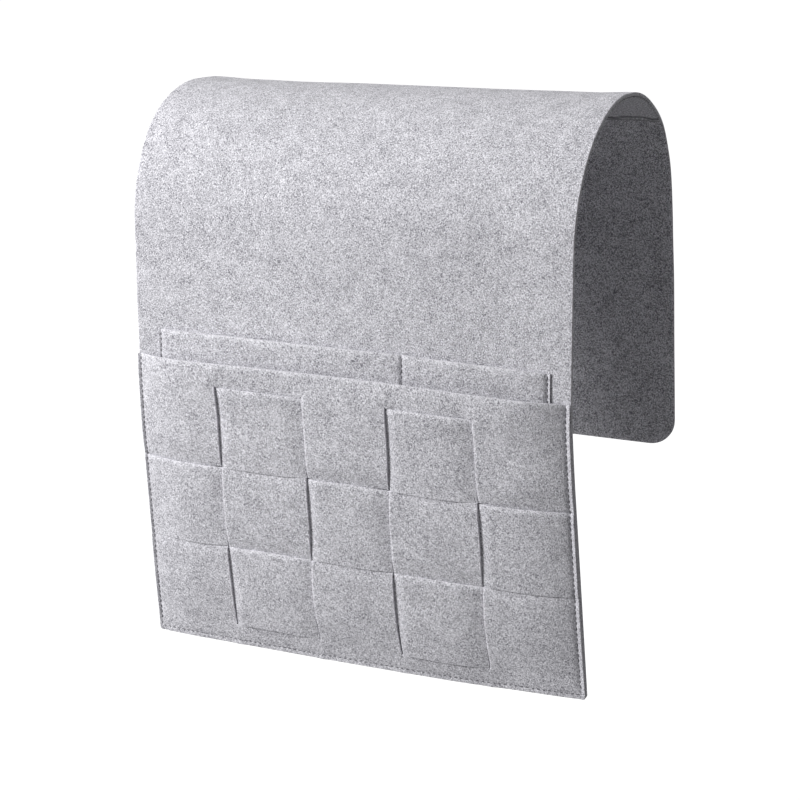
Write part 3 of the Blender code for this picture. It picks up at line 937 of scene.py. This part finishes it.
def front_layer(x, down):
    """The outer and inner heights of the felt that is in front at a place, and True where
    it is the panel."""
    band, row = band_number(x), row_number(down)
    header, footer = down <= BAND_BORDERS[0], down >= BAND_BORDERS[-1]
    even = band % 2 == 0
    panel = ((band + row) % 2 == 0) | header | footer
    borders = np.array(BAND_BORDERS)
    past_left, before_right = x - BAND_WALLS[band], BAND_WALLS[band + 1] - x
    past_top, before_bottom = down - borders[row], borders[row + 1] - down
    # A strip runs across: up from under the band on its left, down under the next
    strip_up = np.where(band > 0, coming_up(past_left), 0.0)
    strip_under = np.where(band < 4, going_under(before_right), 0.0)
    strip_deep = SINK * (strip_up + strip_under)
    over_below = PRESSED_BELOW / PRESSED * coming_up(before_bottom, PRESS_LENGTH)
    over = np.maximum(coming_up(past_top, PRESS_LENGTH), over_below)
    strip_thin = np.max([strip_up, strip_under, over], axis=0)
    strip_roll = coming_up(past_top, ROLL_LENGTH)
    # A band runs down: up from under the strip above it, down under the next
    band_up = np.where(row > 0, coming_up(past_top), 0.0)
    band_under = np.where(row < 2, going_under(before_bottom), 0.0)
    last = np.where(row == 2, going_under(before_bottom, LAST_SINK_LENGTH), 0.0)
    band_deep = SINK_BELOW * band_up + SINK * (band_under + last)
    over_left = np.where(band > 0, past_left, FAR)
    over_right = np.where(band < 4, before_right, FAR)
    over = np.maximum(coming_up(over_left, PRESS_LENGTH), coming_up(over_right, PRESS_LENGTH))
    band_thin = np.max([band_up, band_under, last, over], axis=0)
    band_roll = coming_up(over_left, ROLL_LENGTH) * ~(header | footer)
    # The borders above and below the weave join the bands again
    share = ease(down / HEADER)
    level = MOUTH_LEVEL * (1.0 - share) + np.where(even, 0.0, SINK) * share
    band_deep = np.where(header, level, band_deep)
    fall = (down - BAND_BORDERS[-1]) / (POCKET_HEIGHT - BAND_BORDERS[-1])
    fall = np.clip(fall, 0.0, 1.0)
    level = np.where(even, SINK, SINK_BELOW) * (1.0 - fall) + FOOTER_LEVEL * fall
    band_deep = np.where(footer, level, band_deep)
    band_thin = np.where(header, np.where(even, 0.0, share), band_thin)
    band_thin = np.where(footer, np.where(even, 1.0 - fall, 0.0), band_thin)
    # Next to the ends of the slits all bands lie at one level
    beside = np.min([np.abs(x - slit) for slit in SLITS], axis=0)
    past = np.maximum(np.minimum(down - SLIT_TOP, SLIT_BOTTOM - down), 0.0)
    apart = ease(np.hypot(beside, past) / SLIT_END_REACH)
    ends = np.where(down < HEADER + 1.5 * STRIP_PITCH, *SLIT_END_LEVELS)
    band_deep = ends + (band_deep - ends) * apart
    deep = np.where(panel, band_deep, strip_deep)
    thin = np.where(panel, band_thin, strip_thin)
    # The side seams press both layers
    held = sewn_down(x)
    thick = 1.0 - np.maximum(PRESSED * thin, SEWN_THIN * held)
    deep = deep * (1.0 - SEWN_LEVEL * held)
    swell = pillow(x, down)
    outer = contact_height(x, down) + GAP / 2 + POCKET_FELT * (1.0 - SEWN_THIN * held)
    outer = outer - deep + swell
    inner = outer - POCKET_FELT * thick - swell / 2
    # Outside the stitches the layers splay apart
    outside = np.maximum(-inside_seam(x), BOTTOM_SPLAY * (down - BOTTOM_SEAM))
    splay = SPLAY * np.clip(outside / SPLAY_REACH, 0.0, SPLAY_LIMIT)
    outer = outer - ROLL * np.where(panel, band_roll, strip_roll)
    dent = np.where(down < BOTTOM_SEAM - SIDE_DENT_ENDS, SIDE_DENT, BOTTOM_DENT)
    return outer + splay - dent * stitch_pull(x, down), inner + splay, panel


def contact_height(x, down):
    """The height at which the two layers of the weave lie on each other."""
    held = sewn_down(x)
    return pocket_stand(x, down) + POCKET_FELT * (1.0 - SEWN_THIN * held) + GAP / 2


def layer_faces(x, down, is_panel, edge):
    """The faces of the panel or of a strip: in front, or pressed thin between the sheet
    and what is in front of it."""
    outer, inner, panel = front_layer(x, down)
    in_front = panel == is_panel
    inner = np.minimum(inner, outer - THINNEST)
    under = inner - GAP
    lowest = np.maximum(under - POCKET_FELT, pocket_stand(x, down) - SINK_LIMIT)
    lowest = np.minimum(lowest, under - THINNEST_BEHIND)
    top, bottom = np.where(in_front, outer, under), np.where(in_front, inner, lowest)
    fall = np.minimum(soft_edge(edge), (top - bottom) * ROUNDED_SHARE)
    return top - fall, bottom + fall, edge


def panel_faces(x, down):
    """The faces of the front panel."""
    slit = np.min([np.abs(np.abs(x - s) - SLIT_HALF) for s in SLITS], axis=0)
    slit = np.where((down > SLIT_TOP - ROUNDING) & (down < SLIT_BOTTOM + ROUNDING), slit, FAR)
    edge = np.minimum(np.minimum(HALF - np.abs(x), slit), np.minimum(down, POCKET_HEIGHT - down))
    return layer_faces(x, down, True, edge)


# Nothing woven by hand is quite square. How far the felt is drawn sideways at the slits,
# and down at the borders of the rows, each line of the tables at a place down the panel
SLITS_DRAWN = (
    (0.000, (0.0, 0.0006, 0.0013, 0.0021, 0.0001, 0.0)),
    (0.050, (0.0, 0.0006, 0.0013, 0.0021, 0.0001, 0.0)),
    (0.120, (0.0, -0.0011, 0.0009, -0.0011, 0.0009, 0.0)),
    (0.190, (0.0, 0.0005, -0.0022, -0.0011, -0.0010, 0.0)),
    (0.242, (0.0, 0.0, 0.0, 0.0, 0.0, 0.0)),
)
BAND_MIDDLES = tuple((BAND_WALLS[:-1] + BAND_WALLS[1:]) / 2)
ROWS_DRAWN = (
    (0.000, (0.0, 0.0, 0.0, 0.0, 0.0)),
    (BAND_BORDERS[0], (0.0003, 0.0004, 0.0004, 0.0006, 0.0005)),
    (BAND_BORDERS[1], (-0.0018, -0.0012, -0.0032, -0.0003, -0.0017)),
    (BAND_BORDERS[2], (-0.0014, -0.0033, -0.0016, -0.0020, -0.0007)),
    (BAND_BORDERS[3], (-0.0016, -0.0014, 0.0, 0.0010, 0.0)),
    (0.242, (0.0, 0.0, 0.0, 0.0, 0.0)),
)


def drawn(table, places, x, down):
    """Read one of the two tables at a place of the panel."""
    shift = np.zeros_like(x)
    for (start, line), (end, next_line) in zip(table, table[1:]):
        share = ease((down - start) / (end - start))
        here = (1.0 - share) * np.interp(x, places, line) + share * np.interp(x, places, next_line)
        shift = np.where((down >= start) & (down <= end), here, shift)
    return shift


def on_weave(x, down, height):
    """Lay points of the woven front pocket on the front drop."""
    x, down = (np.asarray(v, float) for v in np.broadcast_arrays(x, down))
    aside = drawn(SLITS_DRAWN, BAND_WALLS, x, down)
    lower = drawn(ROWS_DRAWN, BAND_MIDDLES, x, down)
    return on_drop(x + aside, down + lower, height)


def panel_place(x, down, height):
    """The placing of the front panel, with its lower corners cut to a small round."""
    cut_x, cut_down = round_corner(x, down, POCKET_HEIGHT, FRONT_CORNER)
    return on_weave(cut_x, cut_down, height)


def outside_slits(x, down):
    """True where the front panel has felt."""
    in_slit = np.min([np.abs(x - s) for s in SLITS], axis=0) < SLIT_HALF
    return ~(in_slit & (down > SLIT_TOP) & (down < SLIT_BOTTOM))


slit_edges = [(s + side * SLIT_HALF, side) for s in SLITS for side in (-1, 1)]
weave_lines = seam_lines + [(s, *AT_SLIT) for s in SLITS]
border_lines = [(border, *AT_SLIT) for border in BAND_BORDERS]
bottom_lines = [(BOTTOM_SEAM, *AT_SEAM), (POCKET_HEIGHT - FRONT_CORNER, *ONE_LINE)]
front_pocket = lay_felt(
    "front_pocket",
    lines(-HALF, HALF, WEAVE_STEP, fine=weave_lines, soft=side_edges + slit_edges),
    lines(
        0.0, POCKET_HEIGHT, WEAVE_STEP, fine=border_lines + bottom_lines,
        soft=[(0.0, 1), (POCKET_HEIGHT, -1), (SLIT_TOP, -1), (SLIT_BOTTOM, 1)],
    ),
    panel_faces, panel_place, cut_from=(2.1, 1.2), keep=outside_slits,
)
front_pocket.data.materials.append(pocket_felt)
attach(front_pocket, "front_drop")
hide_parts("front_panel")

# Woven strips
# Three straight strips of the same felt, pushed through the slits by hand, over one
# band and under the next. Their ends are caught in the side seams, flush with the edge.
STRIP_HALF = HALF - 0.0003


def strip_edges(row):
    """How far down the pocket the strip of a row starts and ends."""
    top = HEADER + STRIP_PITCH * row + STRIP_GAP
    bottom = HEADER + STRIP_PITCH * (row + 1) - STRIP_GAP
    return top, bottom


def strip_faces(row):
    """The faces of the strip of one row."""
    top, bottom = strip_edges(row)

    def faces(x, down):
        edge = np.minimum(STRIP_HALF - np.abs(x), np.minimum(down - top, bottom - down))
        return layer_faces(x, down, False, edge)

    return faces


for row in range(3):
    top, bottom = strip_edges(row)
    strip = lay_felt(
        f"woven_strip_{row + 1}",
        lines(
            -STRIP_HALF, STRIP_HALF, WEAVE_STEP, fine=weave_lines,
            soft=[(-STRIP_HALF, 1), (STRIP_HALF, -1)],
        ),
        lines(top, bottom, WEAVE_STEP, soft=[(top, 1), (bottom, -1)]),
        strip_faces(row), on_weave, cut_from=(3.1 + 0.5 * row, 0.3),
    )
    strip.data.materials.append(pocket_felt)
    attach(strip, "front_drop")
    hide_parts(f"weave_strip_{row + 1}")

# Seams
# Lockstitch in dark grey polyester thread, 4.5 mm a stitch: the needle thread lies on
# the front and the bobbin thread on the back, and both sink into the felt at each hole.
STITCH = 0.0045
STITCH_SEEN = 0.0027
THREAD = 0.0008
THREAD_STANDS = 0.00025
FIRST_HOLE = 0.0015
# No stitch lies quite straight: how far its ends slip aside, and what varies that
SLIP = 0.00012
SLIP_BY_STITCH = 12.9898
SLIP_BY_LENGTH = 78.0
# The stitches lie in a dent of the felt behind, and sink deeper along the bottom in front
BACK_DENT = 0.0004
BOTTOM_SUNK = 0.00022
BOTTOM_FROM = BOTTOM_SEAM - 0.001
# Spun polyester thread, twisted: a slight gloss, and darker than the felt around it
THREAD_DARK = paint("#48484d")
THREAD_PALE = paint("#6a6a70")
thread_look, tree, shader = new_look("spun_polyester_thread")
spot = add_node(tree, "ShaderNodeTexCoord")
twist = add_node(
    tree, "ShaderNodeTexNoise", {"Vector": spot.outputs["Object"]},
    Scale=1500.0, Detail=2.0, Roughness=0.6,
)
tone = add_node(tree, "ShaderNodeValToRGB", {"Fac": twist.outputs[0]})
tone.color_ramp.elements[0].color, tone.color_ramp.elements[0].position = THREAD_DARK, 0.35
tone.color_ramp.elements[1].color, tone.color_ramp.elements[1].position = THREAD_PALE, 0.65
strands = add_node(
    tree, "ShaderNodeBump", {"Height": twist.outputs[0]}, Strength=0.4, Distance=0.0002
)
tree.links.new(tone.outputs["Color"], shader.inputs["Base Color"])
tree.links.new(strands.outputs["Normal"], shader.inputs["Normal"])
shader.inputs["Roughness"].default_value = 0.6


def model_stitch():
    """One stitch along X: a low oval bead whose ends dip into the felt."""
    bpy.ops.object.select_all(action="DESELECT")
    bpy.ops.mesh.primitive_uv_sphere_add(
        segments=8, ring_count=6, radius=0.5, rotation=(0.0, math.pi / 2, 0.0)
    )
    bead = bpy.context.object
    bead.name = "one_stitch"
    bead.scale = (THREAD, THREAD, STITCH_SEEN)
    bpy.ops.object.transform_apply(location=True, rotation=True, scale=True)
    bpy.ops.object.shade_smooth()
    return bead


def sew(name, runs, lay, replaced):
    """Sew a seam: runs are lines of flat points, and lay gives a point of the face at
    (x, down, height). Each stitch is a copy of the one stitch, and they are joined."""
    one = model_stitch()
    copies = []
    for start, end in runs:
        start, end = np.array(start), np.array(end)
        length = float(np.hypot(*(end - start)))
        count = int(round(length / STITCH))
        for n in range(count):
            middle = start + (end - start) * (n + 0.5) / count
            step = (end - start) / length * STITCH_SEEN / 2
            slip = SLIP * math.sin(n * SLIP_BY_STITCH + length * SLIP_BY_LENGTH)
            across = np.array((-step[1], step[0])) / (STITCH_SEEN / 2) * slip
            first = Vector(lay(*(middle - step + across), 0.0))
            last = Vector(lay(*(middle + step - across), 0.0))
            lifted = Vector(lay(*middle, THREAD)) - Vector(lay(*middle, 0.0))
            forward = (last - first).normalized()
            up = lifted.normalized()
            up = (up - forward * up.dot(forward)).normalized()
            aside = up.cross(forward)
            turned = Matrix((forward, aside, up)).transposed().to_4x4()
            turned.translation = (first + last) / 2 + up * THREAD_STANDS
            bead = one.copy()
            bead.data = one.data.copy()
            bead.matrix_world = turned
            bpy.context.scene.collection.objects.link(bead)
            copies.append(bead)
    bpy.data.objects.remove(one, do_unlink=True)
    bpy.ops.object.select_all(action="DESELECT")
    for bead in copies:
        bead.select_set(True)
    bpy.context.view_layer.objects.active = copies[0]
    bpy.ops.object.join()
    seam = bpy.context.object
    bpy.ops.object.transform_apply(location=True, rotation=True, scale=True)
    seam.name = name
    seam.data.materials.clear()
    seam.data.materials.append(thread_look)
    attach(seam, "front_drop")
    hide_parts(replaced)


def over_pocket(x, down, height):
    """Points over the outermost felt of the front pocket."""
    at = np.array([float(x)]), np.array([float(down)])
    face = panel_faces(*at)[0][0]
    if BAND_BORDERS[0] < down < BAND_BORDERS[-1]:
        face = max(face, strip_faces(int(row_number(down)))(*at)[0][0])
    sunk = BOTTOM_SUNK if down > BOTTOM_FROM else 0.0
    return on_weave(x, down, face + height - sunk)


def over_inner(x, down, height):
    """Points over the inner pocket's front face."""
    face = inner_faces(np.array([float(x)]), np.array([float(down)]))[0][0]
    return on_drop(x, down, face + height)


def behind_drop(x, down, height):
    """Points behind the front drop, in the dent that the seam pulls there."""
    return on_drop(x, down, BACK_DENT - FELT - height)


pocket_runs = (
    ((SEAM_LEFT, FIRST_HOLE), (SEAM_LEFT, BOTTOM_SEAM)),
    ((SEAM_LEFT, BOTTOM_SEAM), (SEAM_RIGHT, BOTTOM_SEAM)),
    ((SEAM_RIGHT, BOTTOM_SEAM), (SEAM_RIGHT, FIRST_HOLE)),
)
left, middle, right = INNER_SEAMS
inner_top = FIRST_HOLE - INNER_RISE
inner_runs = (
    ((left, inner_top), (left, INNER_SEAM)),
    ((left, INNER_SEAM), (right, INNER_SEAM)),
    ((right, INNER_SEAM), (right, inner_top)),
)
divider_runs = (((middle, inner_top), (middle, INNER_SEAM)),)
sew("pocket_seam_front", pocket_runs, over_pocket, "pocket_seam_needle_thread")
sew("pocket_seam_back", pocket_runs, behind_drop, "pocket_seam_bobbin_thread")
sew("inner_seam_front", inner_runs, over_inner, "inner_seam_needle_thread")
sew("inner_seam_back", inner_runs, behind_drop, "inner_seam_bobbin_thread")
sew("divider_seam_front", divider_runs, over_inner, "divider_seam_needle_thread")
sew("divider_seam_back", divider_runs, behind_drop, "divider_seam_bobbin_thread")
